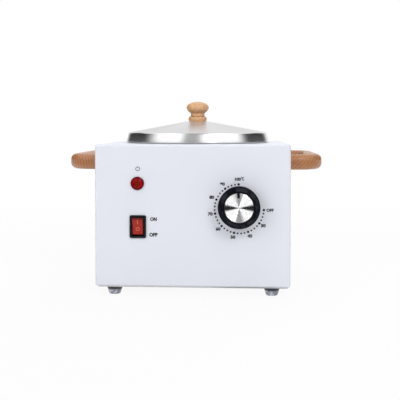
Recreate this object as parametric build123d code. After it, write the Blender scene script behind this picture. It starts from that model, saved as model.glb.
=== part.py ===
from build123d import *
import os
from math import asin, cos, pi, radians, sin, tan

# Electric wax warmer: a white folded steel case on four rubber feet, with a round aluminium heating well
# let into its top. A lift-out wax pot stands in the well under a loose conical lid with a wooden knob.
# Wooden bow handles stand out from both sides. The front carries a thermostat dial, a rocker switch and
# an indicator lamp, and the back carries the mains inlet.
# Millimetres. +X to the right of someone facing the dial, +Y to the back, +Z up.
# The origin is on the table, under the middle of the whole object.

# Clearances
thread_gap = 0.05     # round a screw in its thread
hole_gap = 0.25       # round a screw in a plain hole
run_gap = 0.05        # round a shaft or pivot in its bearing
fit_gap = 0.15        # round a part in its cut-out
seat_gap = 0.3        # between curved faces that rest on each other
screw_end = 1.0       # from a screw's end to the floor of its hole, or past its nut

# Case, a box of folded sheet with a lip turned in all round its open bottom
case_w = 180.0
case_d = 180.0
case_h = 131.0
sheet_t = 1.0
case_bend_r = 2.0
case_lip_w = 8.0
lip_corner_r = 6.0

# Base plate, screwed up against the lip
base_t = 1.0
base_inset = 2.0      # from the case's outer face to the plate's edge
base_corner_r = 2.0
base_screw_edge = 5.5     # from the case's outer face to the screws' line
base_screw_pitch = 50.0
base_screws_a_side = 3
vent_l = 40.0
vent_w = 4.0
vent_pitch = 14.0
vent_rows = 5
vent_off = 38.0       # from the middle to the middle of each column of slots

# Feet
foot_h = 8.0
foot_top_r = 7.9
foot_low_r = 5.3
foot_edge_r = 0.8
foot_in = 16.5        # from the case's side to the middle of a foot
foot_in_front = 12.0  # from the case's front or back to the middle of a foot
foot_recess_r = 4.0
foot_recess_h = 4.0

# Side louvres
louvre_l = 100.0
louvre_h = 7.0
louvre_proud = 3.0
louvre_t = 0.8
louvre_heights = (41.0, 55.0)   # of the open lower edges, above the table

# Heating well and the stud that pulls it down on the top panel
well_r = 65.8
well_t = 1.2
well_depth = 64.0     # from the case's top down to the well's floor
well_corner_r = 5.0
well_flange_w = 3.3
well_lip_r = 0.9
well_hole_gap = 0.5
stud_r = 2.5
stud_end_z = 2.4
tie_nut_flange_r = 6.0
tie_nut_flange_t = 1.0

# Band heater round the well
band_t = 2.0
band_h = 32.0
band_rise = 8.0       # from the well's floor up to the band's lower edge
band_gap_w = 9.0
band_ear_l = 12.0
band_ear_t = 1.5
band_bolt_out = 7.0   # from the band's outer face to the clamp bolt's axis
band_tab_rise = 16.0  # from the band's lower edge up to the terminals
band_tab_turn = 35.0  # degrees from the back to each terminal
band_tab_foot = 8.0
band_tab_foot_t = 1.0

# Wax pot
pot_side_gap = 1.8    # between the pot's wall and the well's
pot_t = 1.2
pot_corner_r = 6.0
pot_rim_w = 5.4       # from the pot's wall out to the edge of its rim
pot_bead_r = 1.5
pot_flare_r = 3.0

# Lid
lid_room = 3.0        # between the pot's rim and the foot of the lid's skirt
lid_taper = 2.3       # that the skirt leans in over its height
lid_gap = 1.0         # between the case's top and the foot of the skirt
lid_skirt_h = 9.4
lid_slope = 0.187
lid_land_r = 9.8
lid_t = 1.0
lid_edge_r = 0.6

# Wooden lid knob, turned: heights are measured down from its top
knob_h = 20.3
knob_head_r = 11.6
knob_head_drop = 6.4
knob_crown_turn = 50.0    # degrees up the head to where the crown starts
knob_under_r = 10.3
knob_under_drop = 9.2
knob_neck_r = 7.1
knob_neck_drop = 13.0
knob_waist_r = 7.4
knob_waist_drop = 11.8
knob_shoulder_r = 8.0
knob_shoulder_drop = 15.3
knob_foot_r = 9.5
knob_foot_drop = 17.9
knob_base_r = 8.6
knob_hole_h = 12.0
knob_washer_r = 6.4
knob_washer_t = 0.8

# Wooden bow handles
handle_l = 130.0
handle_proud = 33.0
handle_bar_w = 12.5
handle_bar_h = 14.6
handle_round_r = 5.6
handle_bend_r = 20.0
handle_drop = 17.2    # from the case's top down to the bars' middle
handle_hole_h = 14.0

# Dial knob on the thermostat's shaft
dial_x = 43.0
dial_drop = 56.2      # from the case's top down to the shaft
dial_r = 19.2          # at the front
dial_back_r = 18.5
dial_gap = 0.8        # between the panel and the back of the knob
dial_t = 15.0
dial_edge_r = 1.6
dial_room_r = 17.3
dial_room_h = 6.0
dial_hub_r = 5.5
insert_r = 13.7
insert_t = 1.0
pointer_w = 1.9
pointer_l = 4.7

# Thermostat behind the dial
shaft_r = 3.0
shaft_flat = 2.2      # from the shaft's axis to its flat
shaft_in_knob = 11.5
shaft_in_body = 12.0
shaft_hole_gap = 0.7
thermo_w = 34.0
thermo_h = 40.0
thermo_d = 20.0
thermo_edge_r = 1.0
bracket_w = 40.0
bracket_h = 24.0
bracket_t = 0.8
thermo_screw_off = 14.0
thermo_tab_off = 8.0
thermo_tab_in = 9.0   # from the body's back to the tabs
capillary_r = 0.8
capillary_below = 5.0     # from the body's lower end up to the capillary
capillary_out = 8.0   # of straight tube at the thermostat
capillary_in = 5.0    # of straight tube at the bulb
capillary_dips = (0.24, 2.06)    # below the bulb's axis, on the way from the thermostat
bulb_r = 3.0
bulb_l = 60.0
bulb_x = 24.0
bulb_mid_y = 6.0      # from the middle of the case
fuse_r = 2.1
fuse_l = 13.0
fuse_x = -24.0
fuse_mid_y = 0.0
clip_t = 0.8
clip_w = 10.0
clip_foot_l = 8.0
clip_nut_h = 2.0

# Rocker switch
switch_x = -50.0
switch_drop = 75.5    # from the case's top down to the middle
switch_w = 15.2
switch_h = 21.0
bezel_t = 1.8
bezel_corner_r = 1.5
switch_body_w = 13.0
switch_body_h = 19.0
switch_body_d = 14.5
switch_floor_t = 2.5
rocker_w = 10.4
rocker_sweep_r = 8.35
rocker_proud = 1.2    # of its middle, from the pivot
rocker_lean = 11.0    # degrees each way from the middle
rocker_back = 3.5
rocker_gap = 0.25
pivot_in = 1.5        # from the bezel's face to the pivot
pivot_r = 1.2
pivot_l = 0.7
plunger_r = 1.2
plunger_in = 2.0      # of the plunger's length in the rocker
blade_w = 4.0
blade_l = 15.0
blade_t = 0.5
blade_in = 10.6       # from the bezel's face to the blade's middle
blade_lean = 4.0      # degrees each way from flat
switch_tab_pitch = 7.0

# Indicator lamp
lamp_x = -50.4
lamp_drop = 35.6      # from the case's top down to the lamp's axis
lamp_r = 6.15
lamp_flange_t = 1.4
lamp_dome_h = 2.2
lamp_barrel_r = 4.8
lamp_barrel_t = 1.0
lamp_barrel_l = 22.0
lamp_wall_t = 1.6
neon_r = 2.2
neon_l = 13.0
lamp_clip_r = 7.5
lamp_clip_t = 0.8
lamp_lead_off = 1.6

# Mains inlet on the back
inlet_x = -40.0
inlet_z = 36.0
inlet_w = 27.4
inlet_h = 19.8
inlet_d = 16.0
inlet_flange_w = 50.0
inlet_flange_h = 23.0
inlet_flange_t = 3.0
inlet_corner_r = 3.0
inlet_screw_off = 20.0
socket_w = 24.0
socket_h = 16.4
socket_d = 16.0
socket_corner = 4.0
pin_w = 2.0
pin_h = 4.0
pin_l = 13.0
pin_off = 7.0
pin_drop = 2.0        # from the socket's middle to the pair, and up to the earth pin

# Flat push-on terminals, shared by the switch, thermostat, inlet and heater
tab_w = 4.8
tab_t = 0.8
tab_l = 8.0
sleeve_wall = 0.9
sleeve_gap = 0.1
sleeve_off = 0.5      # from the terminal's root to the sleeve
sleeve_l = 9.5
lead_r = 1.0
double_off = 1.15     # from a sleeve's middle to each of two leads
lead_out = 12.0       # of straight lead beyond a sleeve
lead_side = 4.0       # that a lead bears away to one side past its straight run
lead_fall = 26.0      # that a heater lead drops past its straight run

# Earth terminal on the base plate
earth_x = 6.0
earth_y = 44.0        # from the middle of the case
ring_r = 5.0
ring_t = 0.8
ring_barrel_l = 6.0
ring_barrel_r = 1.6

# Screws: shank radius, head radius, head height
m3_r, m3_head_r, m3_head_h = 1.5, 2.8, 1.9
m4_r, m4_head_r, m4_head_h = 2.0, 3.2, 2.4
m5_r, m5_head_r, m5_head_h = 2.5, 5.0, 3.0
m3_nut_w, m3_nut_h = 5.5, 2.4
m4_nut_w, m4_nut_h = 7.0, 3.2
m5_nut_w, m5_nut_h = 8.0, 4.0
slot_share = 0.5      # of a head's height that its cross recess goes down
round_share = 0.9     # of a pin's radius that its end is rounded by
slot_w = 0.9
base_screw_l = 6.0
thermo_screw_l = 6.0
inlet_screw_l = 9.0
handle_screw_l = 14.0
band_bolt_l = 20.0
earth_screw_l = 9.0

# Places worked out from the sizes above
base_z = foot_h
case_z = base_z + base_t
top_z = case_z + case_h
dial_proud = dial_gap + dial_t
inlet_proud = inlet_flange_t + m3_head_h
case_y = (dial_proud - inlet_proud) / 2
front_y = case_y - case_d / 2
back_y = case_y + case_d / 2
side_x = case_w / 2
well_out_r = well_r + well_t
well_floor_z = top_z - well_depth
well_under_z = well_floor_z - well_t
band_r = well_out_r + fit_gap
band_out_r = band_r + band_t
band_low_z = well_floor_z + band_rise
band_tab_z = band_low_z + band_tab_rise
pot_r = well_r - pot_side_gap
pot_rim_r = pot_r + pot_rim_w
lid_low_r = pot_rim_r + lid_room + lid_t
lid_high_r = lid_low_r - lid_taper
lid_low_z = top_z + lid_gap
lid_rim_z = lid_low_z + lid_skirt_h
lid_land_z = lid_rim_z + lid_slope * (lid_high_r - lid_land_r)
lid_drop = lid_t * (1 + lid_slope**2) ** 0.5
pot_top_z = lid_rim_z + lid_slope * (lid_high_r - pot_rim_r) - lid_drop - seat_gap
knob_top_z = lid_land_z + knob_h
handle_mid_z = top_z - handle_drop
dial_z = top_z - dial_drop
switch_z = top_z - switch_drop
lamp_z = top_z - lamp_drop
pocket_z = dial_proud - insert_t
insert_gap = fit_gap
hub_bore_h = shaft_in_knob + screw_end
pivot_out = bezel_t - pivot_in
blade_out = bezel_t - blade_in
plunger_tip = blade_out + blade_t / 2 + seat_gap - pivot_out
BOTTOM = (Align.CENTER, Align.CENTER, Align.MIN)
TOP = (Align.CENTER, Align.CENTER, Align.MAX)


def on_front(x, z):
    """The place of a part on the front panel: its own +Z points out of the panel."""
    return Plane(origin=(x, front_y, z), x_dir=(1, 0, 0), z_dir=(0, -1, 0)).location


def on_back(x, z):
    """The place of a part on the back panel, seen from behind the case."""
    return Plane(origin=(x, back_y, z), x_dir=(-1, 0, 0), z_dir=(0, 1, 0)).location


def on_side(side, y, z):
    """The place of a part on the right (1) or left (-1) wall."""
    return Plane(origin=(side * side_x, case_y + y, z), x_dir=(0, side, 0), z_dir=(side, 0, 0)).location


def inside(x, y, z):
    """A point in the case, with y measured from its middle."""
    return Vector(x, case_y + y, z)


def way(x, y, z):
    """A way point in the case: shares of its width and depth from its middle, and of its top's height."""
    return inside(x * case_w, y * case_d, z * top_z)


def rod(radius, low, high):
    """A cylinder on the Z axis between two heights."""
    return Pos(0, 0, low) * Cylinder(radius, high - low, align=BOTTOM)


def turned(*outline):
    """A body turned about the Z axis from a closed outline of points (radius, height)."""
    return revolve(Plane.XZ * make_face(Polyline(*outline, close=True)), Axis.Z)


def cross_recess(head_r, top, depth):
    """The cross cut into a screw's head."""
    arm = Pos(0, 0, top) * Box(1.2 * head_r, slot_w, 2 * depth)
    return arm + Rot(0, 0, 90) * arm


def pan_screw(shank_r, length, head_r, head_h):
    """A pan-head screw: its head stands on z = 0 and its shank goes down."""
    head = rod(head_r, 0, head_h)
    head = fillet(head.edges().sort_by(Axis.Z)[-1], head_h * slot_share)
    return head + rod(shank_r, -length, 0) - cross_recess(head_r, head_h, head_h * slot_share)


def hex_nut(shank_r, across, height):
    """A hexagon nut standing on z = 0."""
    blank = extrude(RegularPolygon(across / 2, 6, major_radius=False), height)
    return blank - rod(shank_r + thread_gap, 0, height)


def plain_washer(shank_r, outer_r, thickness):
    """A flat washer standing on z = 0."""
    return rod(outer_r, 0, thickness) - rod(shank_r + hole_gap, 0, thickness)


def group(*solids):
    """Several separate solids under one name."""
    return Compound(children=[piece for solid in solids for piece in solid.solids()])


# Places of the fasteners and feet
foot_x = side_x - foot_in
foot_y = case_d / 2 - foot_in_front
feet = {
    "front_left": (-foot_x, case_y - foot_y),
    "front_right": (foot_x, case_y - foot_y),
    "back_left": (-foot_x, case_y + foot_y),
    "back_right": (foot_x, case_y + foot_y),
}
base_screw_x = side_x - base_screw_edge
base_screw_places = [
    (side * base_screw_x, case_y + (row - (base_screws_a_side - 1) / 2) * base_screw_pitch)
    for side in (-1, 1)
    for row in range(base_screws_a_side)
]
handle_screw_y = (handle_l - handle_bar_w) / 2
earth_place = Pos(earth_x, case_y + earth_y, 0)
stud_place = Pos(0, case_y, 0)


def louvre_hood(side, z):
    """One pressed hood, as the solid it adds and the room it clears, which runs through the wall."""
    def quarter(high, out, length):
        arc = EllipticalCenterArc((0, 0), high, out)
        face = make_face([arc, Line((0, out), (0, 0)), Line((0, 0), (high, 0))])
        plane = Plane(origin=(-length / 2, 0, 0), x_dir=(0, 1, 0), z_dir=(1, 0, 0))
        return extrude(plane * face, length)

    place = on_side(side, 0, z)
    slit = Pos(0, (louvre_h - louvre_t) / 2, -sheet_t) * Box(
        louvre_l - 2 * louvre_t, louvre_h - louvre_t, 2 * sheet_t + louvre_t
    )
    outer = quarter(louvre_h, louvre_proud, louvre_l)
    root = Pos(0, louvre_h / 2, -sheet_t / 2) * Box(louvre_l, louvre_h, sheet_t)
    inner = quarter(louvre_h - louvre_t, louvre_proud - louvre_t, louvre_l - 2 * louvre_t)
    return place * (outer + root), place * (inner + slit)


def housing_shell():
    """The folded case, with every hole that another part needs."""
    blank = Pos(0, case_y, case_z) * Box(case_w, case_d, case_h, align=BOTTOM)
    blank = fillet(blank.edges(), case_bend_r)
    room_h = case_h - 2 * sheet_t
    room = Pos(0, case_y, case_z + sheet_t) * Box(case_w - 2 * sheet_t, case_d - 2 * sheet_t, room_h, align=BOTTOM)
    room = fillet(room.edges(), case_bend_r - sheet_t)
    mouth = RectangleRounded(case_w - 2 * case_lip_w, case_d - 2 * case_lip_w, lip_corner_r)
    shell = blank - room - Pos(0, case_y, case_z) * extrude(mouth, 2 * sheet_t)
    for side in (-1, 1):
        for z in louvre_heights:
            hood, clear = louvre_hood(side, z)
            shell = shell + hood - clear
    well_hole = stud_place * rod(well_out_r + well_hole_gap, top_z - 2 * sheet_t, top_z + sheet_t)
    front = [on_front(dial_x, dial_z) * rod(shaft_r + shaft_hole_gap, -2 * sheet_t, sheet_t)]
    for s in (-1, 1):
        place = on_front(dial_x + s * thermo_screw_off, dial_z)
        front.append(place * rod(m4_r + hole_gap, -2 * sheet_t, sheet_t))
    front.append(on_front(lamp_x, lamp_z) * rod(lamp_barrel_r + fit_gap, -2 * sheet_t, sheet_t))
    cut = Box(switch_body_w + 2 * fit_gap, switch_body_h + 2 * fit_gap, 4 * sheet_t)
    front.append(on_front(switch_x, switch_z) * cut)
    back = [on_back(inlet_x, inlet_z) * Box(inlet_w + 2 * fit_gap, inlet_h + 2 * fit_gap, 4 * sheet_t)]
    for s in (-1, 1):
        back.append(on_back(inlet_x + s * inlet_screw_off, inlet_z) * rod(m3_r + hole_gap, -2 * sheet_t, sheet_t))
    sides = [
        on_side(s, t * handle_screw_y, handle_mid_z) * rod(m5_r + hole_gap, -2 * sheet_t, sheet_t)
        for s in (-1, 1)
        for t in (-1, 1)
    ]
    pilots = [Pos(x, y, 0) * rod(m3_r + thread_gap, base_z, case_z + 2 * sheet_t) for x, y in base_screw_places]
    return shell - well_hole - front - back - sides - pilots


def base_plate():
    """The flat plate that closes the bottom, slotted for air."""
    outline = RectangleRounded(case_w - 2 * base_inset, case_d - 2 * base_inset, base_corner_r)
    plate = Pos(0, case_y, base_z) * extrude(outline, base_t)
    slot = Pos(0, 0, base_z - base_t) * extrude(SlotOverall(vent_l, vent_w), 3 * base_t)
    middle = (vent_rows - 1) / 2
    slots = [
        Pos(side * vent_off, case_y + (row - middle) * vent_pitch, 0) * slot
        for side in (-1, 1)
        for row in range(vent_rows)
    ]
    hole_h = base_z + 2 * base_t
    holes = [Pos(x, y, 0) * rod(m4_r + hole_gap, 0, hole_h) for x, y in feet.values()]
    holes += [Pos(x, y, 0) * rod(m3_r + hole_gap, 0, hole_h) for x, y in base_screw_places]
    holes += [stud_place * rod(stud_r + hole_gap, 0, hole_h), earth_place * rod(m4_r + hole_gap, 0, hole_h)]
    return plate - slots - holes


def foot():
    """A tapered rubber foot with a recess below for its screw's head."""
    body = turned((0, 0), (foot_low_r, 0), (foot_top_r, foot_h), (0, foot_h))
    body = fillet(body.edges().sort_by(Axis.Z)[0], foot_edge_r)
    return body - rod(foot_recess_r, 0, foot_recess_h) - rod(m4_r + hole_gap, 0, foot_h)


def foot_screw():
    """The screw through a foot and the base plate, its head up in the foot's recess."""
    length = foot_h - foot_recess_h + base_t + m4_nut_h + screw_end
    return Pos(0, 0, foot_recess_h) * Rot(180, 0, 0) * pan_screw(m4_r, length, m4_head_r, m4_head_h)


def heating_well():
    """The spun aluminium cup that the pot stands in, hung by its flange on the top panel."""
    rim_z = top_z + well_t
    flange_r = well_out_r + well_flange_w
    outline = Polyline(
        (0, well_under_z),
        (well_out_r, well_under_z),
        (well_out_r, top_z),
        (flange_r, top_z),
        (flange_r, rim_z),
        (well_r, rim_z),
        (well_r, well_floor_z),
        (0, well_floor_z),
        close=True,
    )
    face = make_face(outline)
    corner = {"under": (well_out_r, well_under_z), "floor": (well_r, well_floor_z), "lip": (well_r, rim_z)}
    radius = {"under": well_corner_r, "floor": well_corner_r - well_t, "lip": well_lip_r}
    for name, (r, z) in corner.items():
        spot = face.vertices().sort_by_distance((r, z, 0))[0]
        face = fillet(spot, radius[name])
    cup = revolve(Plane.XZ * face, Axis.Z)
    studs = [Pos(x, y - case_y, 0) * rod(m3_r, clip_stud_end_z, well_under_z) for x, y in clip_stud_places()]
    return stud_place * (cup + studs)


clip_stud_end_z = well_under_z - clip_t - clip_nut_h - screw_end


def clip_stud_places():
    """The weld studs under the well that hold the bulb's and the fuse's clips."""
    places = []
    for x, mid_y, held_r in ((bulb_x, bulb_mid_y, bulb_r), (fuse_x, fuse_mid_y, fuse_r)):
        reach = held_r + seat_gap + clip_t + clip_foot_l / 2
        places += [(x + s * reach, case_y + mid_y) for s in (-1, 1)]
    return places


def saddle_clip(held_r):
    """A strap bent over a round part: its feet lie flat under the well, which is at z = 0."""
    drop = held_r + seat_gap
    reach = drop + clip_t + clip_foot_l
    strap = Pos(0, 0, -drop) * Rot(90, 0, 0) * Cylinder(drop + clip_t, clip_w)
    strap += Box(2 * (drop + clip_t), clip_w, drop, align=TOP)
    strap += Box(2 * reach, clip_w, clip_t, align=TOP)
    strap -= Box(2 * reach, 2 * clip_w, 2 * drop, align=BOTTOM)
    strap -= Pos(0, 0, -drop) * Rot(90, 0, 0) * Cylinder(drop, 2 * clip_w)
    strap -= Box(2 * drop, 2 * clip_w, drop, align=TOP)
    for s in (-1, 1):
        strap -= Pos(s * (drop + clip_t + clip_foot_l / 2), 0, 0) * rod(m3_r + hole_gap, -2 * clip_t, clip_t)
    return strap


def heater_band():
    """The split steel and mica band clamped round the well."""
    ring = rod(band_out_r, band_low_z, band_low_z + band_h) - rod(band_r, band_low_z, band_low_z + band_h)
    ring -= Pos(0, band_r, band_low_z) * Box(band_gap_w, 4 * band_t, band_h, align=BOTTOM)
    ear_y = band_r + band_t / 2
    for s in (-1, 1):
        ear = Box(band_ear_t, band_ear_l, band_h, align=(Align.CENTER, Align.MIN, Align.MIN))
        ear_x = s * (band_gap_w + band_ear_t) / 2
        ring += Pos(ear_x, ear_y, band_low_z) * ear
    bolt_hole = band_bolt_place() * rod(m4_r + hole_gap, -band_gap_w - 2 * band_ear_t, band_gap_w)
    return stud_place * ring - bolt_hole


def band_bolt_place():
    """Where the clamp bolt's head seats: on the right ear, pointing left."""
    plane = Plane(
        origin=(band_gap_w / 2 + band_ear_t, case_y + band_out_r + band_bolt_out, band_low_z + band_h / 2),
        x_dir=(0, 1, 0),
        z_dir=(1, 0, 0),
    )
    return plane.location


def band_nut():
    """The nut on the clamp bolt, against the left ear."""
    return band_bolt_place() * Pos(0, 0, -band_gap_w - 2 * band_ear_t - m4_nut_h) * hex_nut(m4_r, m4_nut_w, m4_nut_h)


def wax_pot():
    """The drawn aluminium pot: a flat floor, a straight wall and a flared rim with a solid bead."""
    inner_r = pot_r - pot_t
    bead_z = pot_top_z - pot_bead_r
    bead_mid_r = pot_rim_r - pot_bead_r
    outline = Polyline(
        (0, well_floor_z),
        (pot_r, well_floor_z),
        (pot_r, bead_z - pot_t / 2),
        (bead_mid_r, bead_z - pot_t / 2),
        (bead_mid_r, bead_z + pot_t / 2),
        (inner_r, bead_z + pot_t / 2),
        (inner_r, well_floor_z + pot_t),
        (0, well_floor_z + pot_t),
        close=True,
    )
    face = make_face(outline)
    rounds = (
        (pot_r, well_floor_z, pot_corner_r),
        (inner_r, well_floor_z + pot_t, pot_corner_r - pot_t),
        (pot_r, bead_z - pot_t / 2, pot_flare_r - pot_t),
        (inner_r, bead_z + pot_t / 2, pot_flare_r),
    )
    for r, z, radius in rounds:
        face = fillet(face.vertices().sort_by_distance((r, z, 0))[0], radius)
    face += Pos(bead_mid_r, bead_z) * Circle(pot_bead_r)
    return stud_place * revolve(Plane.XZ * face, Axis.Z)


def lid_shell():
    """The spun aluminium lid: a tapered skirt, a shallow cone and a flat land under the knob."""
    inner_high_r = lid_high_r - lid_t
    inner_rim_z = lid_rim_z + lid_slope * lid_t - lid_drop
    outline = Polyline(
        (0, lid_land_z),
        (lid_land_r, lid_land_z),
        (lid_high_r, lid_rim_z),
        (lid_low_r, lid_low_z),
        (lid_low_r - lid_t, lid_low_z),
        (inner_high_r, inner_rim_z),
        (lid_land_r, lid_land_z - lid_drop),
        (0, lid_land_z - lid_drop),
        close=True,
    )
    face = make_face(outline)
    face = fillet(face.vertices().sort_by_distance((lid_high_r, lid_rim_z, 0))[0], lid_edge_r)
    return stud_place * (revolve(Plane.XZ * face, Axis.Z) - rod(m4_r + hole_gap, top_z, knob_top_z))


def lid_knob():
    """The turned wooden knob: a mushroom head, a waist and a foot ring."""
    def down(r, drop):
        return (r, knob_top_z - drop)

    def on_head(turn):
        return down(knob_head_r * cos(radians(turn)), knob_head_drop * (1 - sin(radians(turn))))

    crown_edge_r = knob_head_r * cos(radians(knob_crown_turn))
    crown_h = knob_head_drop * (1 - sin(radians(knob_crown_turn)))
    crown_r = (crown_edge_r**2 + crown_h**2) / (2 * crown_h)
    half = asin(crown_edge_r / crown_r) / 2
    waist, shoulder = down(knob_waist_r, knob_shoulder_drop), down(knob_shoulder_r, knob_shoulder_drop)
    neck = down(knob_waist_r, knob_waist_drop)
    base = down(knob_base_r, knob_h)
    outline = [
        Line(down(0, knob_h), base),
        ThreePointArc(base, down(knob_foot_r, knob_foot_drop), shoulder),
        Line(shoulder, waist),
        ThreePointArc(waist, down(knob_neck_r, knob_neck_drop), neck),
        ThreePointArc(neck, down(knob_under_r, knob_under_drop), on_head(0)),
        ThreePointArc(on_head(0), on_head(knob_crown_turn / 2), on_head(knob_crown_turn)),
        ThreePointArc(on_head(knob_crown_turn), down(crown_r * sin(half), crown_r * (1 - cos(half))), down(0, 0)),
        Line(down(0, 0), down(0, knob_h)),
    ]
    body = revolve(Plane.XZ * make_face(outline), Axis.Z)
    hole = rod(m4_r + thread_gap, lid_land_z, lid_land_z + knob_hole_h)
    return stud_place * (body - hole)


def lid_knob_screw():
    """The screw up through the lid into the knob, with its washer between head and lid."""
    seat_z = lid_land_z - lid_drop - knob_washer_t
    length = lid_drop + knob_washer_t + knob_hole_h - screw_end
    return stud_place * Pos(0, 0, seat_z) * Rot(180, 0, 0) * pan_screw(m4_r, length, m4_head_r, m4_head_h)


def lid_knob_washer():
    """The washer under the lid knob's screw."""
    seat = stud_place * Pos(0, 0, lid_land_z - lid_drop - knob_washer_t)
    return seat * plain_washer(m4_r, knob_washer_r, knob_washer_t)


def handle(side):
    """A wooden bow: one bar bent round two corners, with its ends flat on the case's wall."""
    reach = handle_proud - handle_bar_w / 2
    path = FilletPolyline(
        (0, -handle_screw_y, 0),
        (reach, -handle_screw_y, 0),
        (reach, handle_screw_y, 0),
        (0, handle_screw_y, 0),
        radius=handle_bend_r,
    )
    start = Plane(origin=(0, -handle_screw_y, 0), x_dir=(0, 1, 0), z_dir=(1, 0, 0))
    section = start * RectangleRounded(handle_bar_w, handle_bar_h, handle_round_r)
    bow = sweep(section, path=path)
    for s in (-1, 1):
        hole = Rot(0, 90, 0) * rod(m5_r + thread_gap, 0, handle_hole_h)
        bow -= Pos(0, s * handle_screw_y, 0) * hole
    if side < 0:
        bow = Rot(0, 0, 180) * bow
    return Pos(side * side_x, case_y, handle_mid_z) * bow


def handle_screws():
    """Two screws through each side wall into the handles."""
    screws = []
    for side in (-1, 1):
        for s in (-1, 1):
            seat = on_side(side, s * handle_screw_y, handle_mid_z) * Pos(0, 0, -sheet_t) * Rot(180, 0, 0)
            screws.append(seat * pan_screw(m5_r, handle_screw_l, m5_head_r, m5_head_h))
    return group(*screws)


def flatted(radius, flat, low, high):
    """A round rod with one flat on its upper side."""
    bar = rod(radius, low, high)
    cutter = Pos(0, flat + radius, (low + high) / 2) * Box(4 * radius, 2 * radius, 2 * (high - low))
    return bar - cutter


def thermostat_shaft():
    """The thermostat's spindle, with a flat for the knob."""
    low = -sheet_t - bracket_t - shaft_in_body
    high = dial_gap + shaft_in_knob
    spindle = rod(shaft_r, low, dial_gap)
    return on_front(dial_x, dial_z) * (spindle + flatted(shaft_r, shaft_flat, dial_gap, high))


def dial_knob():
    """The black moulded knob: hollow behind, with a hub on the shaft and a pocket for the disc in front."""
    body = turned((0, dial_gap), (dial_back_r, dial_gap), (dial_r, dial_proud), (0, dial_proud))
    body = fillet(body.edges().sort_by(Axis.Z)[-1], dial_edge_r)
    body -= rod(dial_room_r, dial_gap, dial_gap + dial_room_h) - rod(dial_hub_r, dial_gap, dial_gap + dial_room_h)
    body -= flatted(shaft_r + run_gap, shaft_flat + run_gap, dial_gap, dial_gap + hub_bore_h)
    pocket = rod(insert_r + insert_gap, pocket_z, dial_proud)
    pointer = Pos(0, insert_r, pocket_z) * Box(pointer_w, 2 * pointer_l, insert_t, align=BOTTOM)
    return on_front(dial_x, dial_z) * (body - (pocket - pointer))


def dial_insert():
    """The spun aluminium disc in the knob's front, notched round the pointer."""
    disc = rod(insert_r, pocket_z, dial_proud)
    notch = Pos(0, insert_r, pocket_z) * Box(
        pointer_w + 2 * insert_gap, 2 * (pointer_l + insert_gap), insert_t, align=BOTTOM
    )
    return on_front(dial_x, dial_z) * (disc - notch)


def thermostat_bracket():
    """The steel plate behind the panel that takes the thermostat's two screws."""
    plate = Pos(0, 0, -sheet_t - bracket_t) * Box(bracket_w, bracket_h, bracket_t, align=BOTTOM)
    plate -= rod(shaft_r + shaft_hole_gap, -2 * sheet_t - bracket_t, 0)
    for s in (-1, 1):
        plate -= Pos(s * thermo_screw_off, 0, 0) * rod(m4_r + thread_gap, -2 * sheet_t - bracket_t, 0)
    return on_front(dial_x, dial_z) * plate


def thermostat_body():
    """The moulded capillary thermostat, with a bearing for the shaft."""
    face = -sheet_t - bracket_t
    body = Pos(0, 0, face) * Box(thermo_w, thermo_h, thermo_d, align=TOP)
    body = fillet(body.edges().filter_by(Axis.Z), thermo_edge_r)
    body -= rod(shaft_r + run_gap, face - shaft_in_body - run_gap, face)
    for s in (-1, 1):
        body -= Pos(s * thermo_screw_off, 0, 0) * rod(m4_r + hole_gap, -thermo_screw_l - screw_end, face)
    return on_front(dial_x, dial_z) * body


def thermostat_screws():
    """The two screws under the knob that hold the thermostat to the panel."""
    places = [on_front(dial_x + s * thermo_screw_off, dial_z) for s in (-1, 1)]
    return group(*[place * pan_screw(m4_r, thermo_screw_l, m4_head_r, m4_head_h) for place in places])


def push_on_tab(place):
    """A flat terminal, standing out of its part along the place's own +Z."""
    blade = Box(tab_w, tab_t, tab_l, align=BOTTOM)
    return place * chamfer(blade.edges().filter_by(Axis.Y).group_by(Axis.Z)[-1], tab_t)


def sleeve(place):
    """The insulated socket of a lead, pushed over a flat terminal."""
    wide = tab_w + 2 * (sleeve_gap + sleeve_wall)
    thick = tab_t + 2 * (sleeve_gap + sleeve_wall)
    body = Pos(0, 0, sleeve_off) * Box(wide, thick, sleeve_l, align=BOTTOM)
    body = fillet(body.edges().filter_by(Axis.Z), sleeve_wall)
    slot_l = tab_l - sleeve_off + sleeve_gap
    pocket = Box(tab_w + 2 * sleeve_gap, tab_t + 2 * sleeve_gap, slot_l, align=BOTTOM)
    return place * (body - Pos(0, 0, sleeve_off) * pocket)


def sleeve_end(place, shift=0.0):
    """The point where a lead enters its sleeve."""
    return (place * Pos(shift, 0, sleeve_off + sleeve_l)).position


thermo_back_y = front_y + sheet_t + bracket_t + thermo_d
thermo_low_z = dial_z - thermo_h / 2
switch_back_y = front_y + switch_body_d


def thermo_tab(s):
    """The place of a thermostat terminal, pointing down."""
    origin = (dial_x + s * thermo_tab_off, thermo_back_y - thermo_tab_in, thermo_low_z)
    return Plane(origin=origin, x_dir=(1, 0, 0), z_dir=(0, 0, -1)).location


def switch_tab(step):
    """The place of a switch terminal, pointing to the back."""
    origin = (switch_x, switch_back_y, switch_z + step * switch_tab_pitch)
    return Plane(origin=origin, x_dir=(1, 0, 0), z_dir=(0, 1, 0)).location


def inlet_tab(x, z):
    """The place of an inlet terminal, pointing into the case."""
    origin = (inlet_x + x, back_y - inlet_d, inlet_z + z)
    return Plane(origin=origin, x_dir=(0, 0, 1), z_dir=(0, -1, 0)).location


def band_tab(side):
    """The place of a heater terminal, pointing away from the well's axis."""
    turn = radians(90 - side * band_tab_turn)
    out = Vector(cos(turn), sin(turn), 0)
    root = Vector(0, case_y, band_tab_z) + out * (band_out_r + seat_gap + band_tab_foot_t)
    return Plane(origin=root, x_dir=(0, 0, 1), z_dir=out).location


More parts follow.
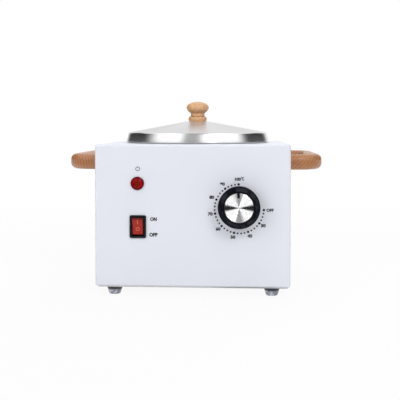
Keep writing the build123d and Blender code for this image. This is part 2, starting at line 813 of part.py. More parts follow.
def band_terminals():
    """Two terminals riveted to the band, each a foot with a tab standing out of it."""
    pieces = []
    for side in (-1, 1):
        foot_plate = Box(band_tab_foot, band_tab_foot, band_tab_foot_t, align=TOP)
        pieces.append(band_tab(side) * foot_plate + push_on_tab(band_tab(side)))
    return group(*pieces)


def capillary_route():
    """From the thermostat's back, under the well, into the end of the bulb."""
    out = Vector(dial_x, thermo_back_y, thermo_low_z + capillary_below)
    bulb_end = inside(bulb_x, bulb_mid_y - bulb_l / 2, bulb_z)
    dips = [Vector(0, 0, bulb_z - dip) for dip in capillary_dips]
    return [
        out,
        out + Vector(0, capillary_out, 0),
        way(0.206, -0.268, 0) + dips[0],
        way(0.161, -0.211, 0) + dips[1],
        bulb_end - Vector(0, capillary_in, 0),
        bulb_end,
    ]


bulb_z = well_under_z - bulb_r - seat_gap
fuse_z = well_under_z - fuse_r - seat_gap


def bar_under_well(radius, length, x, mid_y, z):
    """A round bar lying front to back under the well's floor."""
    bar = Pos(x, case_y + mid_y, z) * Rot(90, 0, 0) * Cylinder(radius, length)
    return fillet(bar.edges(), radius / 3)


def tube_along(points, radius, name):
    """A round tube along straight runs joined by arcs as large as the runs allow."""
    radii = []
    for before, corner, after in zip(points, points[1:], points[2:]):
        run_in = corner - before
        run_out = after - corner
        half_turn = radians(run_in.get_angle(run_out)) / 2
        radii.append(0.45 * min(run_in.length, run_out.length) / tan(half_turn))
    path = FilletPolyline(*points, radius=radii)
    start = Plane(origin=points[0], z_dir=points[1] - points[0])
    tube = sweep(start * Circle(radius), path=path)
    share = tube.volume / (pi * radius**2 * path.length)
    print(name, "length", round(path.length, 1), "radii", [round(r, 1) for r in radii], "volume", round(share, 4))
    return tube


def switch_housing():
    """The switch's black moulding: a bezel on the panel and a box behind it, open at the front."""
    bezel = extrude(RectangleRounded(switch_w, switch_h, bezel_corner_r), bezel_t)
    bezel = fillet(bezel.faces().sort_by(Axis.Z)[-1].edges(), bezel_t / 3)
    body = Box(switch_body_w, switch_body_h, switch_body_d, align=TOP)
    room_h = 2 * (rocker_sweep_r + rocker_gap)
    room_w = rocker_w + 2 * rocker_gap
    room_d = switch_body_d - switch_floor_t
    room = Pos(0, 0, -room_d) * Box(room_w, room_h, room_d + bezel_t, align=BOTTOM)
    pivot_w = room_w + 2 * (pivot_l + run_gap)
    pivots = Pos(0, 0, pivot_out) * Rot(0, 90, 0) * Cylinder(pivot_r + run_gap, pivot_w)
    moulding = bezel + body - room - pivots
    for step in (0, -1):
        slot = Box(tab_w + 2 * run_gap, tab_t + 2 * run_gap, 3 * switch_floor_t)
        moulding -= Pos(0, step * switch_tab_pitch, -switch_body_d) * slot
    return on_front(switch_x, switch_z) * moulding


def rocker_place(lean):
    """The rocker's own frame, turned about its pivot."""
    return on_front(switch_x, switch_z) * Pos(0, 0, pivot_out) * Rot(lean, 0, 0)


def switch_rocker():
    """The red rocker, resting with its lower end pressed in."""
    reach = rocker_sweep_r
    rise = reach * tan(radians(rocker_lean))
    outline = Polyline(
        (-reach, -rocker_back / 2),
        (-reach / 2, -rocker_back),
        (reach / 2, -rocker_back),
        (reach, -rocker_back / 2),
        (reach, rocker_proud + rise),
        (0, rocker_proud),
        (-reach, rocker_proud + rise),
        close=True,
    )
    plane = Plane(origin=(-rocker_w / 2, 0, 0), x_dir=(0, 1, 0), z_dir=(1, 0, 0))
    blank = extrude(plane * make_face(outline), rocker_w)
    blank &= Rot(0, 90, 0) * Cylinder(reach, rocker_w)
    pivots = Rot(0, 90, 0) * Cylinder(pivot_r, rocker_w + 2 * (rocker_gap + pivot_l))
    socket = rod(plunger_r + run_gap, -rocker_back, -rocker_back + plunger_in)
    return rocker_place(rocker_lean) * (blank + pivots - socket)


def switch_plunger():
    """The sprung pin in the rocker that pushes the contact blade over."""
    pin = rod(plunger_r, plunger_tip, -rocker_back + plunger_in - run_gap)
    pin = fillet(pin.edges().sort_by(Axis.Z)[0], plunger_r * round_share)
    return rocker_place(rocker_lean) * pin


def contact_blade():
    """The see-saw contact strip, its contact end lifted while the switch is off."""
    blade = Box(blade_w, blade_l, blade_t)
    place = on_front(switch_x, switch_z) * Pos(0, 0, blade_out) * Rot(-blade_lean, 0, 0)
    return place * blade


def switch_terminals():
    """The middle terminal, which carries the blade, and the lower one, which it closes on."""
    pieces = []
    for step, rise in ((0, blade_pivot_rise), (-1, blade_contact_rise)):
        post = Pos(0, step * switch_tab_pitch, -switch_body_d) * Box(tab_w, tab_t, rise, align=BOTTOM)
        pieces.append(on_front(switch_x, switch_z) * post + push_on_tab(switch_tab(step)))
    return group(*pieces)


blade_pivot_rise = switch_body_d + blade_out - blade_t / 2 - seat_gap
blade_contact_rise = blade_pivot_rise - switch_tab_pitch * sin(radians(blade_lean))


def lamp_lens():
    """The red moulded lamp: a domed head on the panel and a hollow barrel behind it."""
    sphere_r = (lamp_r**2 + lamp_dome_h**2) / (2 * lamp_dome_h)
    dome = Pos(0, 0, lamp_flange_t + lamp_dome_h - sphere_r) * Sphere(sphere_r)
    head = rod(lamp_r, 0, lamp_flange_t + lamp_dome_h) & dome
    barrel = rod(lamp_barrel_r, -lamp_barrel_l, 0)
    room = rod(lamp_barrel_r - lamp_barrel_t, -lamp_barrel_l + lamp_wall_t, lamp_flange_t - lamp_wall_t / 2)
    holes = [Pos(s * lamp_lead_off, 0, 0) * rod(lead_r + run_gap, -lamp_barrel_l, 0) for s in (-1, 1)]
    return on_front(lamp_x, lamp_z) * (head + barrel - room - holes)


def lamp_bulb():
    """The neon tube in the lamp's barrel, with its foot on the barrel's floor."""
    low = -lamp_barrel_l + lamp_wall_t
    tube = rod(neon_r, low, low + neon_l)
    tube = fillet(tube.edges().sort_by(Axis.Z)[-1], neon_r * round_share)
    return on_front(lamp_x, lamp_z) * tube


def lamp_clip():
    """The spring washer that grips the barrel behind the panel."""
    ring = rod(lamp_clip_r, -sheet_t - lamp_clip_t, -sheet_t)
    return on_front(lamp_x, lamp_z) * (ring - rod(lamp_barrel_r + run_gap, -2 * sheet_t - lamp_clip_t, 0))


def inlet_body():
    """The black mains inlet: a flange on the back panel, a socket and a body through the cut-out."""
    flange = extrude(RectangleRounded(inlet_flange_w, inlet_flange_h, inlet_corner_r), inlet_flange_t)
    flange = fillet(flange.faces().sort_by(Axis.Z)[-1].edges(), inlet_flange_t / 5)
    body = Box(inlet_w, inlet_h, inlet_d, align=TOP)
    mouth = Rectangle(socket_w, socket_h)
    mouth = chamfer(mouth.vertices().group_by(Axis.Y)[-1], socket_corner)
    socket_floor = inlet_flange_t - socket_d
    moulding = flange + body - Pos(0, 0, socket_floor) * extrude(mouth, 2 * socket_d)
    for s in (-1, 1):
        hole = rod(m3_r + hole_gap, 0, inlet_flange_t)
        moulding -= Pos(s * inlet_screw_off, 0, 0) * hole
    for x, z in inlet_pin_places:
        moulding -= Pos(-x, z, socket_floor) * Box(pin_w + 2 * run_gap, pin_h + 2 * run_gap, 2 * inlet_d)
    return on_back(inlet_x, inlet_z) * moulding


inlet_pin_places = ((-pin_off, -pin_drop), (0.0, pin_drop), (pin_off, -pin_drop))


def inlet_pins():
    """Live, earth and neutral pins, each with its tab inside the case."""
    socket_floor = inlet_flange_t - socket_d
    pieces = []
    for x, z in inlet_pin_places:
        pin = Pos(-x, z, 0) * Box(pin_w, pin_h, socket_floor + inlet_d + pin_l, align=BOTTOM)
        pin = on_back(inlet_x, inlet_z) * Pos(0, 0, -inlet_d) * pin
        pieces.append(pin + push_on_tab(inlet_tab(x, z)))
    return group(*pieces)


def inlet_screws():
    """The two screws through the inlet's flange."""
    places = [on_back(inlet_x + s * inlet_screw_off, inlet_z) * Pos(0, 0, inlet_flange_t) for s in (-1, 1)]
    return group(*[place * pan_screw(m3_r, inlet_screw_l, m3_head_r, m3_head_h) for place in places])


def inlet_nuts():
    """Their nuts inside the back panel."""
    places = [on_back(inlet_x + s * inlet_screw_off, inlet_z) for s in (-1, 1)]
    return group(*[place * Pos(0, 0, -sheet_t - m3_nut_h) * hex_nut(m3_r, m3_nut_w, m3_nut_h) for place in places])


def earth_lead_end():
    """The ring and barrel crimped on the earth lead, flat on the base plate."""
    ring = rod(ring_r, case_z, case_z + ring_t) - rod(m4_r + hole_gap, case_z, case_z + ring_t)
    start = -ring_r - ring_barrel_l
    mid_z = case_z + ring_barrel_r
    barrel = Pos(start, 0, mid_z) * Rot(0, 90, 0) * rod(ring_barrel_r, 0, ring_barrel_l + ring_t)
    return earth_place * (ring + barrel), (earth_place * Pos(start, 0, mid_z)).position


def leads():
    """The insulated leads, each a wire with a sleeve pushed on the terminal at either end."""
    live, neutral, earth = inlet_tab(-pin_off, -pin_drop), inlet_tab(pin_off, -pin_drop), inlet_tab(0, pin_drop)
    line, load = switch_tab(0), switch_tab(-1)
    thermo_in, thermo_out = thermo_tab(-1), thermo_tab(1)
    band_left, band_right = band_tab(-1), band_tab(1)
    back = Vector(0, 1, 0)
    lamp_back = front_y + lamp_barrel_l
    fuse_front = inside(fuse_x, fuse_mid_y - fuse_l / 2, fuse_z)
    fuse_rear = inside(fuse_x, fuse_mid_y + fuse_l / 2, fuse_z)
    left_out = Plane(band_left).z_dir
    right_out = Plane(band_right).z_dir
    ring, barrel_end = earth_lead_end()
    made = {}

    def add(name, points, ends):
        body = tube_along(points, lead_r, name)
        for end in ends:
            body += end
        made[name] = body

    start, end = sleeve_end(live), sleeve_end(line)
    add("lead_live", [
        start,
        start - back * lead_out,
        way(-0.322, 0.111, 0.314),
        way(-0.344, -0.078, 0.386),
        end + back * 1.5 * lead_out - Vector(lead_side, 0, 0),
        end + back * 0.6 * lead_out,
        end,
    ], [sleeve(live), sleeve(line)])

    start, end = sleeve_end(load, double_off), sleeve_end(thermo_in)
    add("lead_switched", [
        start,
        start + back * lead_out,
        way(-0.189, -0.244, 0.300),
        way(-0.022, -0.289, 0.214),
        way(0.133, -0.389, 0.229),
        end - Vector(0, 0, 0.7 * lead_out),
        end,
    ], [sleeve(load), sleeve(thermo_in)])

    start, end = sleeve_end(thermo_out), fuse_front
    add("lead_fuse", [
        start,
        start - Vector(0, 0, lead_out),
        way(0.244, -0.333, 0.171),
        way(0.089, -0.256, 0.186),
        way(-0.056, -0.211, 0.343),
        way(-0.122, -0.144, 0.471),
        end - back * 0.7 * lead_out,
        end,
    ], [sleeve(thermo_out)])

    start, end = fuse_rear, sleeve_end(band_left)
    add("lead_heater", [
        start,
        start + back * 0.8 * lead_out,
        way(-0.167, 0.189, 0.457),
        way(-0.267, 0.344, 0.429),
        end + left_out * 1.2 * lead_out - Vector(lead_side, 0, lead_fall),
        end + left_out * lead_out,
        end,
    ], [sleeve(band_left)])

    start, end = sleeve_end(band_right), sleeve_end(neutral, double_off)
    add("lead_neutral", [
        start,
        start + right_out * lead_out,
        start + right_out * 1.2 * lead_out + Vector(lead_side, 0, -lead_fall),
        way(0.244, 0.367, 0.414),
        way(0.100, 0.244, 0.329),
        way(-0.078, 0.189, 0.264),
        end - back * 1.5 * lead_out + Vector(lead_side, 0, 0),
        end - back * 0.6 * lead_out,
        end,
    ], [sleeve(neutral)])

    start = Vector(lamp_x - lamp_lead_off, lamp_back, lamp_z)
    end = sleeve_end(load, -double_off)
    add("lead_lamp_live", [
        start,
        start + back * 0.8 * lead_out,
        way(-0.344, -0.278, 0.629),
        way(-0.356, -0.256, 0.514),
        way(-0.328, -0.244, 0.429),
        end + back * lead_out,
        end,
    ], [])

    start = Vector(lamp_x + lamp_lead_off, lamp_back, lamp_z)
    end = sleeve_end(neutral, -double_off)
    add("lead_lamp_neutral", [
        start,
        start + back * 0.8 * lead_out,
        way(-0.378, -0.233, 0.671),
        way(-0.433, -0.089, 0.557),
        way(-0.400, 0.067, 0.371),
        way(-0.278, 0.189, 0.243),
        end - back * 1.3 * lead_out - Vector(lead_side, 0, lead_side),
        end - back * 0.6 * lead_out,
        end,
    ], [])

    start = sleeve_end(earth)
    add("lead_earth", [
        start,
        start - back * 0.8 * lead_out,
        way(-0.178, 0.233, 0.214),
        way(-0.111, 0.222, 0.107),
        barrel_end - Vector(0.6 * lead_out, 0, 0),
        barrel_end,
    ], [sleeve(earth), ring])
    return made


def every_part():
    """All nodes by name."""
    nodes = {"housing_shell": housing_shell(), "base_plate": base_plate()}
    for name, (x, y) in feet.items():
        nodes["foot_" + name] = Pos(x, y, 0) * foot()
    nodes["foot_screws"] = group(*[Pos(x, y, 0) * foot_screw() for x, y in feet.values()])
    nodes["foot_nuts"] = group(*[Pos(x, y, case_z) * hex_nut(m4_r, m4_nut_w, m4_nut_h) for x, y in feet.values()])
    under = Pos(0, 0, base_z) * Rot(180, 0, 0)
    base_screw = under * pan_screw(m3_r, base_screw_l, m3_head_r, m3_head_h)
    nodes["base_screws"] = group(*[Pos(x, y, 0) * base_screw for x, y in base_screw_places])

    nodes["heating_well"] = heating_well()
    nodes["tie_stud"] = stud_place * rod(stud_r, stud_end_z, well_under_z)
    tie_nut = rod(tie_nut_flange_r, m5_nut_h, m5_nut_h + tie_nut_flange_t) - rod(stud_r + thread_gap, 0, foot_h)
    tie_nut += hex_nut(stud_r, m5_nut_w, m5_nut_h)
    nodes["tie_nut"] = stud_place * Pos(0, 0, base_z - m5_nut_h - tie_nut_flange_t) * tie_nut
    nodes["heater_band"] = heater_band()
    nodes["band_bolt"] = band_bolt_place() * pan_screw(m4_r, band_bolt_l, m4_head_r, m4_head_h)
    nodes["band_nut"] = band_nut()
    nodes["band_terminals"] = band_terminals()

    nodes["wax_pot"] = wax_pot()
    nodes["lid_shell"] = lid_shell()
    nodes["lid_knob"] = lid_knob()
    nodes["lid_knob_screw"] = lid_knob_screw()
    nodes["lid_knob_washer"] = lid_knob_washer()

    nodes["handle_left"] = handle(-1)
    nodes["handle_right"] = handle(1)
    nodes["handle_screws"] = handle_screws()

    nodes["dial_knob"] = dial_knob()
    nodes["dial_insert"] = dial_insert()
    nodes["thermostat_shaft"] = thermostat_shaft()
    nodes["thermostat_body"] = thermostat_body()
    nodes["thermostat_bracket"] = thermostat_bracket()
    nodes["thermostat_screws"] = thermostat_screws()
    nodes["thermostat_terminals"] = group(*[push_on_tab(thermo_tab(s)) for s in (-1, 1)])
    nodes["capillary_tube"] = tube_along(capillary_route(), capillary_r, "capillary_tube")
    nodes["sensing_bulb"] = bar_under_well(bulb_r, bulb_l, bulb_x, bulb_mid_y, bulb_z)
    nodes["bulb_clip"] = Pos(bulb_x, case_y + bulb_mid_y, well_under_z) * saddle_clip(bulb_r)
    nodes["thermal_fuse"] = bar_under_well(fuse_r, fuse_l, fuse_x, fuse_mid_y, fuse_z)
    nodes["fuse_clip"] = Pos(fuse_x, case_y + fuse_mid_y, well_under_z) * saddle_clip(fuse_r)
    nut_z = well_under_z - clip_t - clip_nut_h
    clip_nut = hex_nut(m3_r, m3_nut_w, clip_nut_h)
    nodes["clip_nuts"] = group(*[Pos(x, y, nut_z) * clip_nut for x, y in clip_stud_places()])

    nodes["switch_housing"] = switch_housing()
    nodes["switch_rocker"] = switch_rocker()
    nodes["switch_plunger"] = switch_plunger()
    nodes["contact_blade"] = contact_blade()
    nodes["switch_terminals"] = switch_terminals()
    nodes["lamp_lens"] = lamp_lens()
    nodes["lamp_bulb"] = lamp_bulb()
    nodes["lamp_clip"] = lamp_clip()

    nodes["inlet_body"] = inlet_body()
    nodes["inlet_pins"] = inlet_pins()
    nodes["inlet_screws"] = inlet_screws()
    nodes["inlet_nuts"] = inlet_nuts()
    earth_screw = Pos(0, 0, base_z) * Rot(180, 0, 0) * pan_screw(m4_r, earth_screw_l, m4_head_r, m4_head_h)
    nodes["earth_screw"] = earth_place * earth_screw
    nodes["earth_nut"] = earth_place * Pos(0, 0, case_z + ring_t) * hex_nut(m4_r, m4_nut_w, m4_nut_h)
    nodes.update(leads())
    return nodes


os.makedirs("parts", exist_ok=True)
for node, part in every_part().items():
    export_step(part, "parts/" + node + ".step")
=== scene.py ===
from math import cos, pi, radians, sin, tau

import bmesh
import bpy
from mathutils import Matrix, Vector


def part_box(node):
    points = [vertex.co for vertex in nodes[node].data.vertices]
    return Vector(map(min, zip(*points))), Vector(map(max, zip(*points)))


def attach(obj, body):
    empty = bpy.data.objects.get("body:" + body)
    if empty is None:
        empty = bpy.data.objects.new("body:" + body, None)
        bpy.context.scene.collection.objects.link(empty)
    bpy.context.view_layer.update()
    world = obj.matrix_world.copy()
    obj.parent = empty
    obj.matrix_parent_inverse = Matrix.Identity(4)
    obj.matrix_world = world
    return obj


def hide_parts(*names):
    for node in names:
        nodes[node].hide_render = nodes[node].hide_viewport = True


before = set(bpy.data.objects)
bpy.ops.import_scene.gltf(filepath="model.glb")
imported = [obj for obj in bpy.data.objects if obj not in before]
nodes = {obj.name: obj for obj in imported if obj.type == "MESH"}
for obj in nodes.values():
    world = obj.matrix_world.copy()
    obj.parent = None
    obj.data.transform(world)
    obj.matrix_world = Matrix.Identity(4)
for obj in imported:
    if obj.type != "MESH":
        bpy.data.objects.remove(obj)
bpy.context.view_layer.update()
scene = bpy.context.scene
panel_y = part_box("housing_shell")[0].y

# The view of the photograph: from a little right of the middle of the dial's panel, level with the lid,
# with the picture's frame shifted down.
view_x, view_back, view_z = 0.04336, 0.670, 0.1576
tilt_down, turn_left = 1.80, 3.135
camera = bpy.data.objects.new("view", bpy.data.cameras.new("view"))
camera.location = (view_x, panel_y - view_back, view_z)
camera.rotation_euler = (radians(90 - tilt_down), 0, radians(turn_left))
camera.data.lens = 66.12
camera.data.sensor_width = 36
camera.data.shift_x = 0.0016
camera.data.shift_y = -0.1288
camera.data.clip_start = 0.01
scene.collection.objects.link(camera)
scene.camera = camera
scene.view_settings.view_transform = "Standard"


# The studio: a white floor and a white surround, which the camera and clear reflections see, with the dark
# gaps between its light boxes: behind and above the camera, along the horizon and at each side.
class Wire:
    """A socket of a node tree. Arithmetic on it adds Math nodes."""

    def __init__(self, recipe, socket):
        self.recipe, self.socket = recipe, socket

    def math(self, operation, *values):
        return self.recipe.node("ShaderNodeMath", {"operation": operation}, self, *values)

    def __add__(self, other):
        return self.math("ADD", other)

    def __sub__(self, other):
        return self.math("SUBTRACT", other)

    def __rsub__(self, other):
        return self.math("MULTIPLY_ADD", -1, other)

    def __mul__(self, other):
        return self.math("MULTIPLY", other)

    def __truediv__(self, other):
        return self.math("DIVIDE", other)

    def __abs__(self):
        return self.math("ABSOLUTE")

    __radd__, __rmul__ = __add__, __mul__

    def rise(self, low, high):
        """0 below low, 1 above high and smooth between; falls where low is above high."""
        settings = {"interpolation_type": "SMOOTHSTEP"}
        if low < high:
            return self.recipe.node("ShaderNodeMapRange", settings, self, low, high)
        return 1 - self.recipe.node("ShaderNodeMapRange", settings, self, high, low)


class Recipe:
    """A node tree under construction."""

    def __init__(self, tree):
        self.tree = tree

    def feed(self, socket, value):
        """Links a wire to a socket, or sets the socket to a plain value."""
        if isinstance(value, Wire):
            self.tree.links.new(value.socket, socket)
        else:
            socket.default_value = value

    def node(self, kind, settings=None, *values, out=0, at=None):
        """Adds a node: its settings first, then its inputs, by order or by number or name.

        Gives the wire of one output, or a list of them where out is a tuple of names.
        """
        made = self.tree.nodes.new(kind)
        for key, value in (settings or {}).items():
            setattr(made, key, value)
        for key, value in [*enumerate(values), *(at or {}).items()]:
            self.feed(made.inputs[key], value)
        if isinstance(out, tuple):
            return [Wire(self, made.outputs[name]) for name in out]
        return Wire(self, made.outputs[out])

    def parts(self, vector):
        """The three numbers of a vector."""
        return self.node("ShaderNodeSeparateXYZ", None, vector, out=("X", "Y", "Z"))

    def lay(self, mask, under, over):
        """One colour laid over another where the mask is 1."""
        colours = [value if isinstance(value, Wire) else (*value, 1) for value in (under, over)]
        return self.node("ShaderNodeMix", {"data_type": "RGBA"}, out=2,
                         at={0: mask, 6: colours[0], 7: colours[1]})


def off_axis(x, y):
    """How far a place is from an axis, by its two distances from it."""
    return (x * x + y * y).math("SQRT")


world = bpy.data.worlds.new("studio")
world.use_nodes = True
scene.world = world
sky = Recipe(world.node_tree)
east, north, up = sky.parts(sky.node("ShaderNodeTexCoord", out="Generated"))
azimuth = east.math("ARCTAN2", north * -1) * (180 / pi)
front = north.rise(0.10, -0.10)
gap_behind_camera = azimuth.rise(-28, -14) * azimuth.rise(16, 0) * 0.64
gap_at_left = azimuth.rise(-162, -140) * azimuth.rise(-58, -94)
gap_at_right = azimuth.rise(68, 94) * azimuth.rise(160, 136)
gap_above_camera = front * abs(east).rise(0.38, 0.14) * up.rise(0.50, 0.62) * 0.72
gap_at_sides = (gap_at_left + gap_at_right) * up.rise(0.64, 0.54) * 0.96
gap_at_horizon = front * abs(up).rise(0.13, 0.10) * 0.99
back_wall = north.rise(0.0, 0.3) * 0.13
bright_boxes = front * 0.38 + 1
studio = ((1 - gap_behind_camera.math("MAXIMUM", gap_above_camera)) * (1 - gap_at_horizon)
          * (1 - gap_at_sides) * (1 - back_wall) * bright_boxes)
seen, glossy, clear = sky.node("ShaderNodeLightPath", out=(
    "Is Camera Ray", "Is Glossy Ray", "Is Transmission Ray"))
mirrored = glossy.math("MAXIMUM", clear)
ambient = 0.30
unseen = 1 - seen.math("MAXIMUM", mirrored)
background = world.node_tree.nodes["Background"]
sky.feed(background.inputs["Color"], (1, 1, 1, 1))
sky.feed(background.inputs["Strength"], seen + (1 - seen) * mirrored * studio + unseen * ambient)

floor_shape = bmesh.new()
bmesh.ops.create_grid(floor_shape, x_segments=1, y_segments=1, size=4.0)
floor_mesh = bpy.data.meshes.new("floor")
floor_shape.to_mesh(floor_mesh)
floor_shape.free()
floor = bpy.data.objects.new("floor", floor_mesh)
scene.collection.objects.link(floor)

# The floor is white paper. It glows white to the camera and keeps a little of its real shade round the
# warmer. Reflections see it end in front, at the table's edge, with a darker strip in the middle.
paper = bpy.data.materials.new("white_paper")
paper.use_nodes = True
sheet = Recipe(paper.node_tree)
paper_shader = paper.node_tree.nodes["Principled BSDF"]
sheet.feed(paper_shader.inputs["Base Color"], (0.80, 0.80, 0.80, 1))
sheet.feed(paper_shader.inputs["Roughness"], 0.9)
sheet.feed(paper_shader.inputs["Specular IOR Level"], 0.0)
sheet_east, sheet_north, _ = sheet.parts(sheet.node("ShaderNodeTexCoord", out="Object"))
seen, glossy = sheet.node("ShaderNodeLightPath", out=("Is Camera Ray", "Is Glossy Ray"))
in_front = panel_y - sheet_north
aside = sheet_east - view_x
distance = off_axis(in_front, aside)
table_edge = in_front.rise(0.0, 0.10) * distance.rise(0.28, 0.34) * 0.98
dark_strip = in_front.rise(-0.02, 0.02) * abs(aside - 0.008).rise(0.044, 0.016) * 0.60
glow = sheet.node("ShaderNodeEmission", None, (1, 1, 1, 1),
                  seen + (1 - seen) * (1 - table_edge) * (1 - dark_strip))
whiteness = seen * (distance.rise(0.4, 1.0) * 0.08 + 0.92) + glossy
surface = sheet.node("ShaderNodeMixShader", None, whiteness, Wire(sheet, paper_shader.outputs["BSDF"]), glow)
sheet.feed(paper.node_tree.nodes["Material Output"].inputs["Surface"], surface)
floor_mesh.materials.append(paper)


def light_box(name, place, size, power, mirrored=False):
    """A square soft light, pointed at the warmer. Gloss shows it only where it is mirrored."""
    lamp = bpy.data.lights.new(name, "AREA")
    lamp.shape, lamp.size, lamp.energy = "SQUARE", size, power
    made = bpy.data.objects.new(name, lamp)
    warmer = Vector((0, 0, 0.08))
    made.location = place
    made.rotation_euler = (warmer - Vector(place)).to_track_quat("-Z", "Y").to_euler()
    made.visible_glossy = mirrored
    scene.collection.objects.link(made)


light_box("key", (0.95, -1.75, 1.45), size=1.6, power=13)
light_box("highlight", (0.70, -1.36, 1.08), size=0.45, power=4.2, mirrored=True)
light_box("fill", (-1.25, -1.65, 0.95), size=1.6, power=15)
light_box("top", (0.0, 0.35, 1.9), size=2.0, power=12)
light_box("back", (0.3, 1.2, 2.3), size=1.6, power=9)
light_box("back_fill", (0.5, 1.75, 0.9), size=1.6, power=11)


class Finish(Recipe):
    """A material on Blender's own surface shader."""

    def __init__(self, name, colour, roughness, **fixed):
        self.material = bpy.data.materials.new(name)
        self.material.use_nodes = True
        super().__init__(self.material.node_tree)
        self.shader = self.tree.nodes["Principled BSDF"]
        self.surface(Base_Color=(*colour, 1), Roughness=roughness, **fixed)
        self.place = self.node("ShaderNodeTexCoord", out="Object")

    def surface(self, **sockets):
        """Sets or links the shader's own sockets."""
        for name, value in sockets.items():
            self.feed(self.shader.inputs[name.replace("_", " ")], value)

    def relief(self, height, depth):
        """Raises the surface by up to depth where height is 1."""
        bump = self.node("ShaderNodeBump", None, at={"Strength": 1.0, "Distance": depth, "Height": height})
        self.surface(Normal=bump)

    def grain(self, size, detail=2.0, place=None):
        """Soft random specks about as large as size, from 0 to 1."""
        return self.node("ShaderNodeTexNoise", None, at={
            "Vector": place or self.place, "Scale": 1 / size, "Detail": detail})

    def counted(self, sizes, centre=(0, 0, 0), turn=(0, 0, 0), place=None):
        """A place, counted from centre in steps of a size along each axis."""
        return self.node("ShaderNodeMapping", {"vector_type": "TEXTURE"}, place or self.place,
                         centre, turn, sizes)

    def from_middle(self, x=0.0, y=0.0, z=0.0):
        """The three distances from a middle."""
        return self.parts(self.counted((1, 1, 1), centre=(x, y, z)))

    def dress(self, *names):
        """Puts the finish on CAD nodes."""
        for name in names:
            for slot in nodes[name].material_slots:
                slot.material = self.material


powder = Finish("white_powder_coat", (0.80, 0.82, 0.89), 0.42)
peel = powder.grain(0.0011, 3.0)
cloud = powder.grain(0.05)
powder.surface(Base_Color=powder.lay(cloud, (0.785, 0.812, 0.885), (0.815, 0.838, 0.905)),
               Roughness=0.36 + peel * 0.12)
powder.relief(peel, 0.00003)
powder.dress("housing_shell")


# The print on the panel: the dial's scale, the switch's two words and a power sign, all one thin film of
# black ink that was pressed through a silk screen and baked on the powder coat.
ink = Finish("black_print_ink", (0.010, 0.011, 0.014), 0.45, Specular_IOR_Level=0.2)
ink.surface(Roughness=0.38 + ink.grain(0.0006) * 0.16)
ink_t = 0.00004
boldness = 0.058
film = bmesh.new()


def on_panel(x, z, out=0.0):
    """A place on the panel, with its own +Z out of the panel."""
    return Matrix.Translation((x, panel_y - out, z)) @ Matrix.Rotation(radians(90), 4, "X")


def add_word(word, x, z, width, height):
    """Adds a word to the film, with its middle at x and z on the panel."""
    curve = bpy.data.curves.new("word", "FONT")
    curve.body = word
    curve.extrude = 0.5
    curve.offset = boldness
    curve.resolution_u = 3
    mesh = bpy.data.meshes.new_from_object(bpy.data.objects.new("word", curve))
    corners = [Vector([pick(v.co[i] for v in mesh.vertices) for i in range(3)]) for pick in (min, max)]
    size = corners[1] - corners[0]
    mesh.transform(Matrix.Translation(-(corners[0] + corners[1]) / 2))
    mesh.transform(Matrix.Diagonal((width / size.x, height / size.y, ink_t, 1)))
    mesh.transform(on_panel(x, z, ink_t / 2))
    film.from_mesh(mesh)


def printed_ring(inner_r, outer_r, segments, thick, gap=0.0):
    """A flat ring about the Z axis, centred on Z = 0 and open at the top by twice the gap."""
    ring = bmesh.new()
    for r in (inner_r, outer_r):
        bmesh.ops.create_circle(ring, segments=segments, radius=r)
    bmesh.ops.bridge_loops(ring, edges=ring.edges)
    middles = {face: face.calc_center_median() for face in ring.faces}
    opening = [face for face, middle in middles.items() if middle.y > 0 and abs(middle.x) < gap]
    bmesh.ops.delete(ring, geom=opening, context="FACES")
    bmesh.ops.recalc_face_normals(ring, faces=ring.faces)
    bmesh.ops.solidify(ring, geom=ring.faces[:], thickness=thick)
    bmesh.ops.translate(ring, vec=(0, 0, thick / 2 - max(v.co.z for v in ring.verts)), verts=ring.verts)
    return ring


def add_shape(whole, shape, place):
    """Adds a shape to a larger one, put in place."""
    mesh = bpy.data.meshes.new("shape")
    shape.to_mesh(mesh)
    shape.free()
    mesh.transform(place)
    whole.from_mesh(mesh)


def piece(name, shape, body, finish, place=None, sharp=35):
    """Makes a piece of a mesh: put in place, smooth up to a sharp angle and riding on its body."""
    if place is not None:
        bmesh.ops.transform(shape, matrix=place, verts=shape.verts)
    mesh = bpy.data.meshes.new(name)
    shape.to_mesh(mesh)
    shape.free()
    mesh.shade_smooth()
    mesh.set_sharp_from_angle(angle=radians(sharp))
    mesh.materials.append(finish.material)
    made = bpy.data.objects.new(name, mesh)
    scene.collection.objects.link(made)
    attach(made, body)
    return made


scale_x, scale_z, scale_r = 0.0431, 0.0813, 0.0225
scale_start, scale_sweep = radians(1.4), radians(266.4)
scale_steps, dots_per_step = 8, 4
small_dot_r, big_dot_r = 0.00081, 0.00114
dots = scale_steps * dots_per_step
for count in range(dots + 1):
    turn = scale_start + scale_sweep * count / dots
    dot_r = small_dot_r if count % dots_per_step else big_dot_r
    place = on_panel(scale_x - scale_r * sin(turn), scale_z + scale_r * cos(turn), ink_t / 2)
    bmesh.ops.create_cone(film, cap_ends=True, segments=20, radius1=dot_r, radius2=dot_r, depth=ink_t,
                          matrix=place)
number_r, number_z = 0.0270, scale_z + 0.0005
number_w, number_h = 0.0045, 0.0032
add_word("100", scale_x - 0.0012, number_z + number_r - 0.0003, width=0.0055, height=0.0030)
add_word("°C", scale_x + 0.0030, number_z + number_r + 0.0002, width=0.0024, height=0.0036)
for count, word in enumerate(("90", "80", "70", "60", "50", "40", "30"), start=1):
    turn = scale_start + scale_sweep * count / scale_steps
    add_word(word, scale_x - number_r * sin(turn), number_z + number_r * cos(turn), number_w, number_h)
add_word("OFF", x=0.0712, z=0.0803, width=0.0066, height=0.0029)
add_word("ON", x=-0.0356, z=0.0714, width=0.0062, height=0.0036)
add_word("OFF", x=-0.0357, z=0.0570, width=0.0076, height=0.0036)

